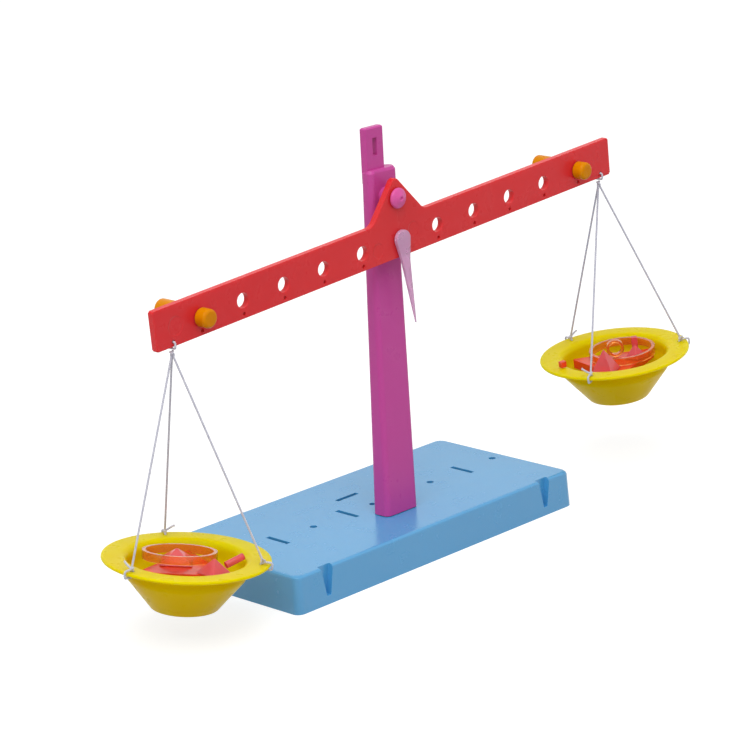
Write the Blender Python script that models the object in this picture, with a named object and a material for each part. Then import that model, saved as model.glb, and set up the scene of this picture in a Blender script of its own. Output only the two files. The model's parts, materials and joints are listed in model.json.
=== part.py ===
# Toy balance scale: a pointed beam pinned to a post on a hollow tray base, with a
# string-hung pan at each end. Lengths are in metres and angles in degrees. +X runs along
# the base, the beam hangs on the -Y side of the post, and the table is at z = 0.
import math

import bmesh
import bpy
from mathutils import Matrix, Vector

# Clearances and mesh fineness
gap = 0.0003              # clearance between pieces that touch
overrun = 0.002           # how far a cut runs past the face that it opens
arc_steps = 5             # straight runs in one rounded corner
round_steps = 40          # sides of the pans
small_round_steps = 20    # sides of pegs, pins and holes
thread_sides = 8
thread_hole_steps = 10

# Base tray
base_length = 0.150
base_width = 0.070
base_height = 0.0142
base_draft = 0.0006       # how far each side leans in over the height
base_wall = 0.0020
base_corner = 0.0030      # radius of the upright corners
base_edge = 0.0014        # rounding of the top edge
slot_length = 0.0112
slot_width = 0.0020
inner_slot_offset = 0.0138
outer_slot_offset = 0.0502
round_hole_radius = 0.0014
round_hole_offsets = (0.0, 0.0318, 0.0678)
rib_thickness = 0.0016
rib_lift = 0.0030         # the ribs stop this far above the table
rib_offset = 0.0250
socket_wall = 0.0014
socket_depth = 0.0070
notch_offset = 0.0593
notch_top_width = 0.0068
notch_foot_width = 0.0020
notch_depth = 0.0028
notch_foot_height = 0.0034
notch_backing = 0.0016

# Post
post_offset = 0.0120      # from the base's middle towards the beam
post_foot_width = 0.0168
post_foot_depth = 0.0080
post_top_width = 0.0142
post_top_depth = 0.0054
post_corner = 0.0021
post_shoulder_height = 0.1460
post_shoulder_bevel = 0.0011
post_pocket_wall = 0.0020
post_pocket_skin = 0.0024
post_pocket_count = 5
post_pocket_foot = 0.0080
post_pocket_head = 0.0160
post_pocket_rib = 0.0016
tongue_width = 0.0093
tongue_depth = 0.0030
tongue_height = 0.0156
tongue_side_inset = 0.0004
tongue_back_inset = 0.0003
tongue_edge = 0.0005
tongue_slot_width = 0.0022
tongue_slot_height = 0.0066
tongue_slot_lift = 0.0050
tab_length = 0.0060

# Pivot
pivot_height = 0.1358
pin_radius = 0.0016
pin_head_radius = 0.00405
pin_head_height = 0.0023
pin_head_skirt_share = 0.45   # of the head's height, below its dome
pin_dome_angles_deg = (0, 22, 44, 62)
pin_dimple_radius = 0.0013
pin_dimple_depth = 0.0006
pin_seat_depth = 0.0040
boss_radius = 0.0036
boss_height = 0.0028

# Beam, measured from its line of peg holes, and how it stands at rest
beam_rest_tilt_deg = 3.63
beam_thickness = 0.0025
beam_left_reach = 0.1214
beam_right_reach = 0.1192
beam_drop = 0.0066
beam_rise = 0.0080
beam_corner = 0.0007
beam_edge = 0.0003
pivot_rise = 0.0156
flank_run = 0.0135
flank_rise = 0.0159
flank_foot_radius = 0.0050
flank_top_radius = 0.0018
peg_hole_radius = 0.0028
peg_hole_pitch = 0.0200
peg_holes_per_arm = 5
string_hole_reach = 0.1136
string_hole_drop = 0.0049

# Pointer
pointer_radius = 0.0036
pointer_thickness = 0.0015
pointer_waist_half_width = 0.0023
pointer_waist_drop = 0.0087
pointer_tip_half_width = 0.0004
pointer_length = 0.0330
pointer_cant_deg = 5.0    # how far the pushed-in pointer sits off square to the beam
pointer_plug_radius = 0.0020

# Trim pegs
peg_radius = 0.0039
peg_edge = 0.0007
peg_cap_height = 0.0038
peg_barrel_length = 0.0160
peg_neck_radius = 0.0025
peg_neck_seat = 0.0020

# Pans
pan_rim_radius = 0.0298
pan_mouth_radius = 0.0206
pan_knee_radius = 0.0203
pan_foot_radius = 0.0114
pan_depth = 0.0184
pan_knee_depth = 0.0060   # where the steep upper wall turns into the cone
pan_wall = 0.0012
pan_mouth_round = 0.0008
pan_knee_round = 0.0040
pan_foot_round = 0.0008
rim_hole_reach = 0.0265
pan_strings = 3

# How each pan hangs: its rim's depth below the beam's string hole, how far it has swung
# outwards, and which way its hand-tied strings tip it
left_pan_drop = 0.0778
left_pan_turn_deg = 184.0
left_pan_swing_deg = 0.0
left_pan_tip_deg = 6.4
left_pan_tip_towards_deg = -20.0
right_pan_drop = 0.0748
right_pan_turn_deg = 80.0
right_pan_swing_deg = 5.4
right_pan_tip_deg = 1.8
right_pan_tip_towards_deg = 90.0

# Thread
thread_radius = 0.00042
apex_knot_radius = 0.00115
rim_knot_radius = 0.0008
thread_bend = 0.0007
thread_tail = 0.0040
thread_tail_rise_deg = 30.0

# Loose weights heaped in the pans
tile_radius = 0.0194      # of the triangular tiles, to their sharp corners
tile_corner = 0.0008
left_tile_height = 0.0040
right_tile_height = 0.0036
peak_width = 0.0116
peak_height = 0.0048
prow_width = 0.0090
prow_height = 0.0052
spire_width = 0.0092
spire_height = 0.0088
wedge_width = 0.0064
wedge_height = 0.0050
weight_edge = 0.0003
ring_radius = 0.0133
ring_wall = 0.0013
ring_height = 0.0030
loop_radius = 0.0036
loop_wall = 0.0012
loop_height = 0.0024
rod_radius = 0.0013
rod_length = 0.0074
stub_width = 0.0024
stub_height = 0.0058
chip_width = 0.0024

# How the weights lie. Places are shares of the pan's mouth radius, sideways and then
# towards the back, in a frame turned by heap_turn_deg as seen from above.
heap_turn_deg = -45.0
peak_place_shares = (-0.17, 0.18)
left_ring_place_shares = (-0.12, 0.10)
left_ring_tilt_deg = 7.0
prow_bearing_deg = -39.0
prow_standoff = 0.0027    # from the tilted ring's outside to the prow's middle
rod_place_shares = (1.0, -0.125)
rod_inside_share = 0.92   # of the rod's length, measured back from that place
rod_rise_deg = 20.0
rod_turn_deg = 30.0
right_tile_turn_deg = -60.0
right_ring_place_shares = (0.17, 0.26)
spire_bearing_deg = 243.0
wedge_place_shares = (0.41, 0.05)
loop_place_shares = (0.04, 0.22)
stub_place_shares = (0.44, 0.43)
chip_bearing_deg = 206.0


def clear_scene():
    for item in list(bpy.data.objects):
        bpy.data.objects.remove(item)


def plastic(name, colour, roughness, alpha=1.0):
    material = bpy.data.materials.new(name)
    material.use_nodes = True
    shader = material.node_tree.nodes["Principled BSDF"]
    shader.inputs["Base Color"].default_value = (*colour, 1.0)
    shader.inputs["Roughness"].default_value = roughness
    shader.inputs["Metallic"].default_value = 0.0
    shader.inputs["Alpha"].default_value = alpha
    return material


def empty(name, place=(0.0, 0.0, 0.0), parent=None, turn=(0.0, 0.0, 0.0)):
    frame = bpy.data.objects.new(name, None)
    bpy.context.collection.objects.link(frame)
    frame.parent = parent
    frame.location = place
    frame.rotation_euler = turn
    return frame


def finish(name, shape, material, parent, smooth_deg=35.0):
    bmesh.ops.recalc_face_normals(shape, faces=shape.faces)
    mesh = bpy.data.meshes.new(name)
    shape.to_mesh(mesh)
    shape.free()
    mesh.shade_smooth()
    mesh.set_sharp_from_angle(angle=math.radians(smooth_deg))
    part = bpy.data.objects.new(name, mesh)
    bpy.context.collection.objects.link(part)
    part.parent = parent
    if material:
        mesh.materials.append(material)
    return part


def shape_with(part, name, shape, parent, operation):
    # Adds or cuts a helper shape; the helper itself is never shown.
    helper = finish(name, shape, None, parent)
    helper.hide_render = True
    helper.display_type = "WIRE"
    step = part.modifiers.new(name, "BOOLEAN")
    step.operation = operation
    step.solver = "EXACT"
    step.object = helper
    return helper


def rounded(corners, steps=arc_steps):
    # Turns (x, y, radius) corners into an outline whose corners are true arcs.
    outline = []
    for index, (x, y, radius) in enumerate(corners):
        here = Vector((x, y))
        back = (Vector(corners[index - 1][:2]) - here).normalized()
        ahead = (Vector(corners[(index + 1) % len(corners)][:2]) - here).normalized()
        if radius == 0:
            outline.append(here)
            continue
        half = back.angle(ahead) / 2
        reach = radius / math.tan(half)
        centre = here + (back + ahead).normalized() * radius / math.sin(half)
        start = here + back * reach - centre
        sweep = (here + ahead * reach - centre).angle_signed(start)
        for step in range(steps + 1):
            outline.append(centre + Matrix.Rotation(sweep * step / steps, 2) @ start)
    return outline


def rectangle(half_x, half_y, radius, steps=arc_steps):
    corners = ((-half_x, -half_y), (half_x, -half_y), (half_x, half_y), (-half_x, half_y))
    return rounded([(x, y, radius) for x, y in corners], steps)


def lofted(rings):
    # Skins a stack of equal-sided outlines, each a list of 3D points, and caps both ends.
    shape = bmesh.new()
    loops = [[shape.verts.new(point) for point in ring] for ring in rings]
    for low, high in zip(loops, loops[1:]):
        for index, corner in enumerate(low):
            following = (index + 1) % len(low)
            shape.faces.new((corner, low[following], high[following], high[index]))
    shape.faces.new(loops[0])
    shape.faces.new(loops[-1])
    return shape


def upright_loft(levels):
    # Each level is an outline and its height.
    return lofted([[(x, y, height) for x, y in outline] for outline, height in levels])


def plate(outline, front, back, edge=0.0):
    # An outline in X and Z, extruded from y = front to y = back with its edges eased.
    shape = lofted([[(x, y, z) for x, z in outline] for y in (front, back)])
    if edge:
        rim = [e for e in shape.edges if abs(e.verts[0].co.y - e.verts[1].co.y) < edge / 2]
        bmesh.ops.bevel(shape, geom=rim, offset=edge, segments=1, profile=0.5, affect="EDGES")
    return shape


def block(low, high):
    shape = bmesh.new()
    size = Vector(high) - Vector(low)
    middle = (Vector(high) + Vector(low)) / 2
    fitted = Matrix.Translation(middle) @ Matrix.Diagonal((*size, 1.0))
    bmesh.ops.create_cube(shape, size=1.0, matrix=fitted)
    return shape


def add_to(shape, other):
    # Puts a second, separate body into a helper shape.
    mesh = bpy.data.meshes.new("helper")
    other.to_mesh(mesh)
    other.free()
    shape.from_mesh(mesh)
    bpy.data.meshes.remove(mesh)
    return shape


def turned(profile, steps, axis="Z"):
    # Spins a closed (radius, height) profile about its axis.
    shape = bmesh.new()
    corners = [shape.verts.new((radius, 0.0, height)) for radius, height in profile]
    edges = [shape.edges.new((a, b)) for a, b in zip(corners, corners[1:] + corners[:1])]
    on_axis = [e for e in edges if all(v.co.x == 0 for v in e.verts)]
    for edge in on_axis:
        shape.edges.remove(edge)
    bmesh.ops.spin(shape, geom=shape.verts[:] + shape.edges[:], cent=(0, 0, 0), axis=(0, 0, 1),
                   angle=2 * math.pi, steps=steps, use_merge=True)
    bmesh.ops.remove_doubles(shape, verts=shape.verts, dist=gap / 100)
    if axis == "Y":
        bmesh.ops.rotate(shape, verts=shape.verts, cent=(0, 0, 0),
                         matrix=Matrix.Rotation(math.radians(90), 3, "X"))
    return shape


def rod(radius, start, end, steps=small_round_steps):
    # A plain cylinder between two points.
    start, end = Vector(start), Vector(end)
    turn = Vector((0, 0, 1)).rotation_difference(end - start).to_matrix().to_4x4()
    shape = bmesh.new()
    bmesh.ops.create_cone(shape, cap_ends=True, segments=steps, radius1=radius, radius2=radius,
                          depth=(end - start).length, matrix=Matrix.Translation((start + end) / 2) @ turn)
    return shape


def ball(radius, centre):
    shape = bmesh.new()
    bmesh.ops.create_uvsphere(shape, u_segments=12, v_segments=8, radius=radius,
                              matrix=Matrix.Translation(centre))
    return shape


def thread_ring(route, across):
    # A closed thread along a flat route, whose plane stands square to "across".
    shape = bmesh.new()
    loops = []
    for index, point in enumerate(route):
        along = (route[(index + 1) % len(route)] - route[index - 1]).normalized()
        outward = along.cross(across).normalized()
        ring = []
        for side in range(thread_sides):
            angle = 2 * math.pi * side / thread_sides
            offset = outward * math.cos(angle) + across * math.sin(angle)
            ring.append(shape.verts.new(point + offset * thread_radius))
        loops.append(ring)
    for index, ring in enumerate(loops):
        following = loops[(index + 1) % len(loops)]
        for side in range(thread_sides):
            other = (side + 1) % thread_sides
            shape.faces.new((ring[side], ring[other], following[other], following[side]))
    return shape


def post_half_depth(height):
    # Half the post's depth at a height, between its foot and its shoulder.
    share = (height - base_height) / (post_shoulder_height - base_height)
    return (post_foot_depth + (post_top_depth - post_foot_depth) * share) / 2


def build_base(parent, material):
    top = base_height
    half_x, half_y = base_length / 2, base_width / 2

    def level(height, inset, corner):
        lean = base_draft * height / base_height
        return rectangle(half_x - lean - inset, half_y - lean - inset, corner), height

    rise = [math.radians(90 * step / 3) for step in range(4)]
    rounding = [level(top - base_edge * (1 - math.sin(a)), base_edge * (1 - math.cos(a)), base_corner)
                for a in rise]
    base = finish("base", upright_loft([level(0, 0, base_corner)] + rounding), material, parent)

    ceiling = base_height - base_wall
    hollow = [(level(height, base_wall, base_corner - base_wall / 2)[0], height)
              for height in (-overrun, ceiling)]
    shape_with(base, "base_hollow", upright_loft(hollow), parent, "DIFFERENCE")

    inside_y = half_y - base_wall / 2
    inside_x = half_x - base_wall / 2
    into_top = ceiling + base_wall / 2
    for index, side in enumerate((-1, 1)):
        middle = side * rib_offset
        rib = block((middle - rib_thickness / 2, -inside_y, rib_lift),
                    (middle + rib_thickness / 2, inside_y, into_top))
        shape_with(base, f"base_rib_{index}", rib, parent, "UNION")
        wall = notch_depth + notch_backing
        backing = block((side * notch_offset - notch_top_width, -inside_y, 0.0),
                        (side * notch_offset + notch_top_width, -half_y + wall, into_top))
        shape_with(base, f"base_backing_{index}", backing, parent, "UNION")
    socket_x = slot_length / 2 + socket_wall
    socket_y = slot_width / 2 + socket_wall
    socket = block((-socket_x, -inner_slot_offset - socket_y, ceiling - socket_depth),
                   (socket_x, -inner_slot_offset + socket_y, into_top))
    shape_with(base, "base_socket", socket, parent, "UNION")

    # Slots for plug-in parts: one on each side of the middle and one near each end.
    low, high = ceiling - socket_depth - overrun, top + overrun
    half_long, half_wide = slot_length / 2, slot_width / 2
    places = [(0.0, side * inner_slot_offset, half_long, half_wide) for side in (-1, 1)]
    places += [(side * reach, 0.0, half_wide, half_long)
               for reach in (inner_slot_offset, outer_slot_offset) for side in (-1, 1)]
    slots = bmesh.new()
    for x, y, reach_x, reach_y in places:
        add_to(slots, block((x - reach_x, y - reach_y, low), (x + reach_x, y + reach_y, high)))
    for offset in round_hole_offsets:
        for side in ((-1, 1) if offset else (1,)):
            add_to(slots, rod(round_hole_radius, (side * offset, 0, low), (side * offset, 0, high)))
    shape_with(base, "base_slots", slots, parent, "DIFFERENCE")

    # Tapering notches in the front wall, open at the top.
    notches = bmesh.new()
    for side in (-1, 1):
        outline = [(side * notch_offset - notch_foot_width / 2, notch_foot_height),
                   (side * notch_offset + notch_foot_width / 2, notch_foot_height),
                   (side * notch_offset + notch_top_width / 2, top + overrun),
                   (side * notch_offset - notch_top_width / 2, top + overrun)]
        add_to(notches, plate(outline, -half_y - overrun, -half_y + notch_depth))
    shape_with(base, "base_notches", notches, parent, "DIFFERENCE")
    return base


def build_post(parent, material):
    foot = base_height + gap
    top = post_shoulder_height

    def level(height, inset=0.0):
        share = (height - base_height) / (post_shoulder_height - base_height)
        half_x = (post_foot_width + (post_top_width - post_foot_width) * share) / 2 - inset
        return rectangle(half_x, post_half_depth(height) - inset, post_corner), height

    levels = [level(foot), level(top - post_shoulder_bevel), level(top, post_shoulder_bevel / 2)]
    post = finish("post", upright_loft(levels), material, parent)

    # The tongue stands over the post's back left corner.
    left = -post_top_width / 2 + tongue_side_inset
    back = post_top_depth / 2 - tongue_back_inset
    middle = (left + tongue_width / 2, back - tongue_depth / 2)
    outline = rectangle(tongue_width / 2, tongue_depth / 2, tongue_edge, 2)
    eased = rectangle(tongue_width / 2 - tongue_edge, tongue_depth / 2 - tongue_edge, tongue_edge / 2, 2)
    stages = ((outline, top - tongue_slot_lift),
              (outline, top + tongue_height - tongue_edge),
              (eased, top + tongue_height))
    tongue = lofted([[(x + middle[0], y + middle[1], height) for x, y in points]
                     for points, height in stages])
    shape_with(post, "post_tongue", tongue, parent, "UNION")
    slot_foot = top + tongue_slot_lift
    slot = block((middle[0] - tongue_slot_width / 2, -post_top_depth, slot_foot),
                 (middle[0] + tongue_slot_width / 2, post_top_depth, slot_foot + tongue_slot_height))
    shape_with(post, "post_tongue_slot", slot, parent, "DIFFERENCE")

    # The tab goes down through the base's front slot.
    tab_y = post_offset - inner_slot_offset
    half_x, half_y = slot_length / 2 - gap, slot_width / 2 - gap
    tab = block((-half_x, tab_y - half_y, base_height - base_wall - tab_length),
                (half_x, tab_y + half_y, foot + post_corner))
    shape_with(post, "post_tab", tab, parent, "UNION")

    # A round boss holds the beam clear of the post, and the pin goes into it.
    face = -post_half_depth(pivot_height)
    boss = rod(boss_radius, (0, 0, pivot_height), (0, face - boss_height, pivot_height))
    shape_with(post, "post_boss", boss, parent, "UNION")
    bore = rod(pin_radius + gap, (0, face - boss_height - overrun, pivot_height),
               (0, face + pin_seat_depth + gap, pivot_height))
    shape_with(post, "post_bore", bore, parent, "DIFFERENCE")

    # Moulding pockets lighten the back.
    start, end = foot + post_pocket_foot, pivot_height - post_pocket_head
    pitch = (end - start + post_pocket_rib) / post_pocket_count
    pockets = bmesh.new()
    for index in range(post_pocket_count):
        low = start + index * pitch
        high = low + pitch - post_pocket_rib
        rings = []
        for height in (low, high):
            half_x = level(height, post_pocket_wall)[0][arc_steps + 1][0]
            floor = -post_half_depth(height) + post_pocket_skin
            rings.append([(-half_x, floor, height), (half_x, floor, height),
                          (half_x, post_foot_depth, height), (-half_x, post_foot_depth, height)])
        add_to(pockets, lofted(rings))
    shape_with(post, "post_pockets", pockets, parent, "DIFFERENCE")
    return post


def build_pin(parent, material, beam_front):
    # Origin on the pivot axis; the head stands in front of the beam.
    face = -beam_front
    seat = boss_height + pin_seat_depth
    tail = face - gap - beam_thickness - gap - seat
    under = face + gap
    top = under + pin_head_height
    skirt = pin_head_height * pin_head_skirt_share
    profile = [(0.0, tail), (pin_radius, tail), (pin_radius, under), (pin_head_radius, under)]
    for angle in pin_dome_angles_deg:
        a = math.radians(angle)
        height = under + skirt + (pin_head_height - skirt) * math.sin(a)
        profile.append((pin_head_radius * math.cos(a), height))
    profile += [(pin_dimple_radius, top),
                (pin_dimple_radius / 2, top - pin_dimple_depth),
                (0.0, top - pin_dimple_depth)]
    return finish("pivot_pin", turned(profile, small_round_steps, "Y"), material, parent)


def build_beam(parent, material, beam_front):
    # Origin on the pivot axis; the line of peg holes lies pivot_rise below it.
    line = -pivot_rise
    corners = [(-beam_left_reach, line - beam_drop, beam_corner),
               (beam_right_reach, line - beam_drop, beam_corner),
               (beam_right_reach, line + beam_rise, beam_corner),
               (flank_run, line + beam_rise, flank_foot_radius),
               (0.0, line + beam_rise + flank_rise, flank_top_radius),
               (-flank_run, line + beam_rise, flank_foot_radius),
               (-beam_left_reach, line + beam_rise, beam_corner)]
    back = beam_front + beam_thickness
    beam = finish("beam", plate(rounded(corners), beam_front, back, beam_edge), material, parent, 25.0)

    low_line = line - string_hole_drop
    front_cut, back_cut = beam_front - overrun, back + overrun
    holes = bmesh.new()

    def hole(x, z, radius, steps):
        add_to(holes, rod(radius, (x, front_cut, z), (x, back_cut, z), steps))

    hole(0.0, 0.0, pin_radius + gap, small_round_steps)
    hole(0.0, line, pointer_plug_radius + gap, small_round_steps)
    for side in (-1, 1):
        for index in range(1, peg_holes_per_arm + 1):
            hole(side * index * peg_hole_pitch, line, peg_hole_radius, small_round_steps)
            hole(side * index * peg_hole_pitch, low_line, thread_radius + gap, thread_hole_steps)
        hole(side * string_hole_reach, low_line, thread_radius + gap, thread_hole_steps)
    shape_with(beam, "beam_holes", holes, parent, "DIFFERENCE")
    return beam


def build_pointer(parent, material, beam_front):
    # A flat tapering needle with a round head, plugged through the beam's middle hole.
    line = -pivot_rise
    arc = [math.radians(angle) for angle in range(-15, 196, 15)]
    outline = [(pointer_radius * math.cos(a), pointer_radius * math.sin(a)) for a in arc]
    outline += [(-pointer_waist_half_width, -pointer_waist_drop),
                (-pointer_tip_half_width, -pointer_length),
                (pointer_tip_half_width, -pointer_length),
                (pointer_waist_half_width, -pointer_waist_drop)]
    turn = Matrix.Rotation(math.radians(pointer_cant_deg), 2)
    canted = [turn @ Vector(point) + Vector((0.0, line)) for point in outline]
    face = beam_front - gap
    pointer = finish("pointer", plate(canted, face - pointer_thickness, face), material, parent)
    start, end = (0, face - pointer_thickness / 2, line), (0, beam_front + beam_thickness, line)
    plug = rod(pointer_plug_radius, start, end)
    shape_with(pointer, "pointer_plug", plug, parent, "UNION")
    return pointer


def build_peg(side_name, side, parent, material, beam_front):
    # A barrel behind the beam whose neck goes through the outermost peg hole into a cap.
    reach = side * peg_holes_per_arm * peg_hole_pitch
    place = empty(f"{side_name}_peg_axis", (reach, 0.0, -pivot_rise), parent)
    front, back = -beam_front, -beam_front - beam_thickness
    rounding = [math.radians(angle) for angle in (0, 30, 60, 90)]

    def eased(height, direction):
        return [(peg_radius - peg_edge * (1 - math.cos(a)),
                 height - direction * peg_edge * (1 - math.sin(a))) for a in rounding]

    seat = front + gap + peg_neck_seat
    tail = back - gap - peg_barrel_length
    barrel = [(0.0, tail)] + eased(tail, -1)[::-1]
    barrel += [(peg_radius, back - gap), (peg_neck_radius, back - gap), (peg_neck_radius, seat), (0.0, seat)]
    finish(f"{side_name}_peg_barrel", turned(barrel, small_round_steps, "Y"), material, place)
    top = front + gap + peg_cap_height
    cap = [(peg_neck_radius + gap, front + gap), (peg_radius, front + gap)] + eased(top, 1)
    cap += [(0.0, top), (0.0, seat + gap), (peg_neck_radius + gap, seat + gap)]
    finish(f"{side_name}_peg_cap", turned(cap, small_round_steps, "Y"), material, place)


def offset(line, distance):
    # Moves an open line sideways to its right by an even distance, corner by corner.
    points = [Vector(point) for point in line]
    moved = []
    for index, point in enumerate(points):
        runs = [(b - a).normalized() for a, b in zip(points, points[1:])][max(index - 1, 0):index + 1]
        normals = [Vector((run.y, -run.x)) for run in runs]
        bisector = sum(normals, Vector((0, 0))).normalized()
        moved.append(point + bisector * distance / bisector.dot(normals[0]))
    return moved


def pan_profile():
    # Runs round the pan's section, from the middle of its underside out and back.
    half = pan_wall / 2
    floor = -pan_depth + pan_wall
    inside = [(0.0, floor), (pan_foot_radius, floor), (pan_knee_radius, -pan_knee_depth),
              (pan_mouth_radius, 0.0), (pan_rim_radius - half, 0.0)]
    outside = offset(inside, pan_wall)
    rounds = (0.0, pan_foot_round, pan_knee_round, pan_mouth_round)
    out = [(*point, round_) for point, round_ in zip(outside, rounds)]
    back = [(*point, round_) for point, round_ in zip(inside, rounds)][::-1]
    lip = [(pan_rim_radius - half + half * math.cos(a), -half + half * math.sin(a), 0.0)
           for a in [math.radians(angle) for angle in (-90, -45, 0, 45, 90)]]
    return [tuple(point) for point in rounded(out + lip + back, 3)]


def build_pan(side_name, parent, material, turn_deg):
    pan = finish(f"{side_name}_pan", turned(pan_profile(), round_steps), material, parent)
    holes = bmesh.new()
    for index in range(pan_strings):
        angle = math.radians(turn_deg + 360 * index / pan_strings)
        x, y = rim_hole_reach * math.cos(angle), rim_hole_reach * math.sin(angle)
        low, high = (x, y, -pan_wall - overrun), (x, y, overrun)
        add_to(holes, rod(thread_radius + gap, low, high, thread_hole_steps))
    shape_with(pan, f"{side_name}_pan_holes", holes, parent, "DIFFERENCE")
    return pan


def build_string(name, pan_frame, apex, angle, material):
    # One taut thread in the pan's own frame: down from the knot at the apex, tied in a
    # loop through its rim hole and round the rim's edge, with a short free tail.
    outward = Vector((math.cos(angle), math.sin(angle), 0.0))
    across = Vector((-math.sin(angle), math.cos(angle), 0.0))
    clear = gap + thread_radius
    inner, outer = rim_hole_reach, pan_rim_radius + clear
    top, bottom = clear, -pan_wall - clear
    corners = ((inner, bottom), (outer, bottom), (outer, top), (inner, top))
    flat = rounded([(r, z, thread_bend) for r, z in corners], 3)
    route = [outward * r + Vector((0, 0, z)) for r, z in flat]
    knot = outward * (rim_hole_reach + thread_bend) + Vector((0, 0, gap + rim_knot_radius))

    down = (knot - apex).normalized()
    spread = (knot - apex).xy.length / (knot - apex).length
    start = max(apex_knot_radius + gap, (2 * thread_radius + gap) / (math.sqrt(3) * spread))
    string = finish(name, rod(thread_radius, apex + down * start, knot, thread_sides), material, pan_frame)
    shape_with(string, f"{name}_knot", ball(rim_knot_radius, knot), pan_frame, "UNION")
    shape_with(string, f"{name}_loop", thread_ring(route, across), pan_frame, "UNION")
    rise = math.radians(thread_tail_rise_deg)
    tail = knot + (Vector((0, 0, 1)) * math.sin(rise) - across * math.cos(rise)) * thread_tail
    shape_with(string, f"{name}_tail", rod(thread_radius, knot, tail, thread_sides), pan_frame, "UNION")


def build_hanger(side_name, parent, material, beam_middle):
    # The thread loop through the beam's string hole and round its lower edge.
    clear = gap + thread_radius
    half = beam_thickness / 2 + clear
    low = -(beam_drop - string_hole_drop) - clear
    corners = ((-half, low), (half, low), (half, 0.0), (-half, 0.0))
    flat = rounded([(y, z, thread_bend) for y, z in corners], 3)
    route = [Vector((0.0, y, z)) for y, z in flat]
    finish(f"{side_name}_hanger", thread_ring(route, Vector((1, 0, 0))), material, parent)
    return low - clear - apex_knot_radius


def pyramid(width, height):
    # A square pyramid with a slightly blunted point and eased edges.
    shape = bmesh.new()
    bmesh.ops.create_cone(shape, cap_ends=True, segments=4, radius1=width / math.sqrt(2),
                          radius2=weight_edge, depth=height, matrix=Matrix.Translation((0, 0, height / 2)))
    bmesh.ops.rotate(shape, verts=shape.verts, cent=(0, 0, 0),
                     matrix=Matrix.Rotation(math.radians(45), 3, "Z"))
    return shape


def band_profile(radius, wall, height):
    half = height / 2
    return [(radius - wall, -half), (radius, -half), (radius, half), (radius - wall, half)]


def band(radius, wall, height):
    return turned(band_profile(radius, wall, height), round_steps // 2)


def tile(height):
    corners = [Matrix.Rotation(math.radians(90 + 120 * index), 2) @ Vector((tile_radius, 0))
               for index in range(3)]
    outline = rounded([(x, y, tile_corner) for x, y in corners], 3)
    return upright_loft([(outline, 0.0), (outline, height)])


def tile_level():
    # Height in the pan's frame at which the tile's corners meet the sloping wall.
    reach = tile_radius - tile_corner + gap
    share = (reach - pan_foot_radius) / (pan_knee_radius - pan_foot_radius)
    floor = -pan_depth + pan_wall
    return floor + share * (-pan_knee_depth - floor) + gap


def heap_frame(side_name, pan_frame):
    return empty(f"{side_name}_heap", parent=pan_frame, turn=(0, 0, math.radians(heap_turn_deg)))


def over_mouth(shares, height):
    # A place in a heap's frame, from shares of the pan's mouth radius.
    return shares[0] * pan_mouth_radius, shares[1] * pan_mouth_radius, height


def beside(place, reach, bearing_deg, height):
    bearing = math.radians(bearing_deg)
    return place[0] + reach * math.cos(bearing), place[1] + reach * math.sin(bearing), height


def put(name, shape, material, frame, place, turns=(0, 0, 0)):
    # Turns are about the heap's sideways, back and upright axes.
    piece = finish(name, shape, material, frame, 20.0)
    piece.location = place
    piece.rotation_euler = [math.radians(angle) for angle in turns]


def build_left_heap(pan_frame, pink, red, amber):
    frame = heap_frame("left", pan_frame)
    level = tile_level()
    put("left_weight_tile", tile(left_tile_height), red, frame, (0, 0, level))
    level += left_tile_height + gap
    put("left_weight_peak", pyramid(peak_width, peak_height), pink, frame,
        over_mouth(peak_place_shares, level))

    # The ring lies tilted, with its near side propped on the prow's flank.
    lift = ring_radius * math.sin(math.radians(left_ring_tilt_deg)) + ring_height / 2
    ring_place = over_mouth(left_ring_place_shares, level + lift)
    put("left_weight_ring", band(ring_radius, ring_wall, ring_height), amber, frame,
        ring_place, (-left_ring_tilt_deg, 0, 0))
    prow_place = beside(ring_place, ring_radius + prow_standoff, prow_bearing_deg, level)
    put("left_weight_prow", pyramid(prow_width, prow_height), pink, frame, prow_place, (0, 0, 45))

    # The rod leans out over the pan's mouth.
    x, y, height = over_mouth(rod_place_shares, level + rod_radius)
    put("left_weight_rod", rod(rod_radius, (0, 0, 0), (rod_length, 0, 0), 12), pink, frame,
        (x - rod_length * rod_inside_share, y, height), (0, -rod_rise_deg, rod_turn_deg))


def build_right_heap(pan_frame, pink, red, amber):
    frame = heap_frame("right", pan_frame)
    level = tile_level()
    put("right_weight_tile", tile(right_tile_height), red, frame, (0, 0, level),
        (0, 0, right_tile_turn_deg))
    level += right_tile_height + gap
    ring_place = over_mouth(right_ring_place_shares, level + ring_height / 2)
    put("right_weight_ring", band(ring_radius, ring_wall, ring_height), amber, frame, ring_place)

    # The spire stands outside the ring and the other pieces inside it.
    spire_place = beside(ring_place, ring_radius + gap + spire_width / 2, spire_bearing_deg, level)
    put("right_weight_spire", pyramid(spire_width, spire_height), pink, frame, spire_place,
        (0, 0, spire_bearing_deg))
    put("right_weight_wedge", pyramid(wedge_width, wedge_height), pink, frame,
        over_mouth(wedge_place_shares, level), (0, 0, 45))
    loop = turned(band_profile(loop_radius, loop_wall, loop_height), small_round_steps, "Y")
    put("right_weight_loop", loop, amber, frame, over_mouth(loop_place_shares, level + loop_radius))
    half = stub_width / 2
    put("right_weight_stub", block((-half, -half, 0), (half, half, stub_height)), pink, frame,
        over_mouth(stub_place_shares, level))

    # One chip lies outside, on the pan's flat rim.
    half = chip_width / 2
    chip_place = beside((0, 0), pan_mouth_radius + pan_mouth_round + chip_width, chip_bearing_deg, gap)
    put("right_weight_chip", block((-half, -half, 0), (half, half, chip_width)), red, frame,
        chip_place, (0, 0, 30))


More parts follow.
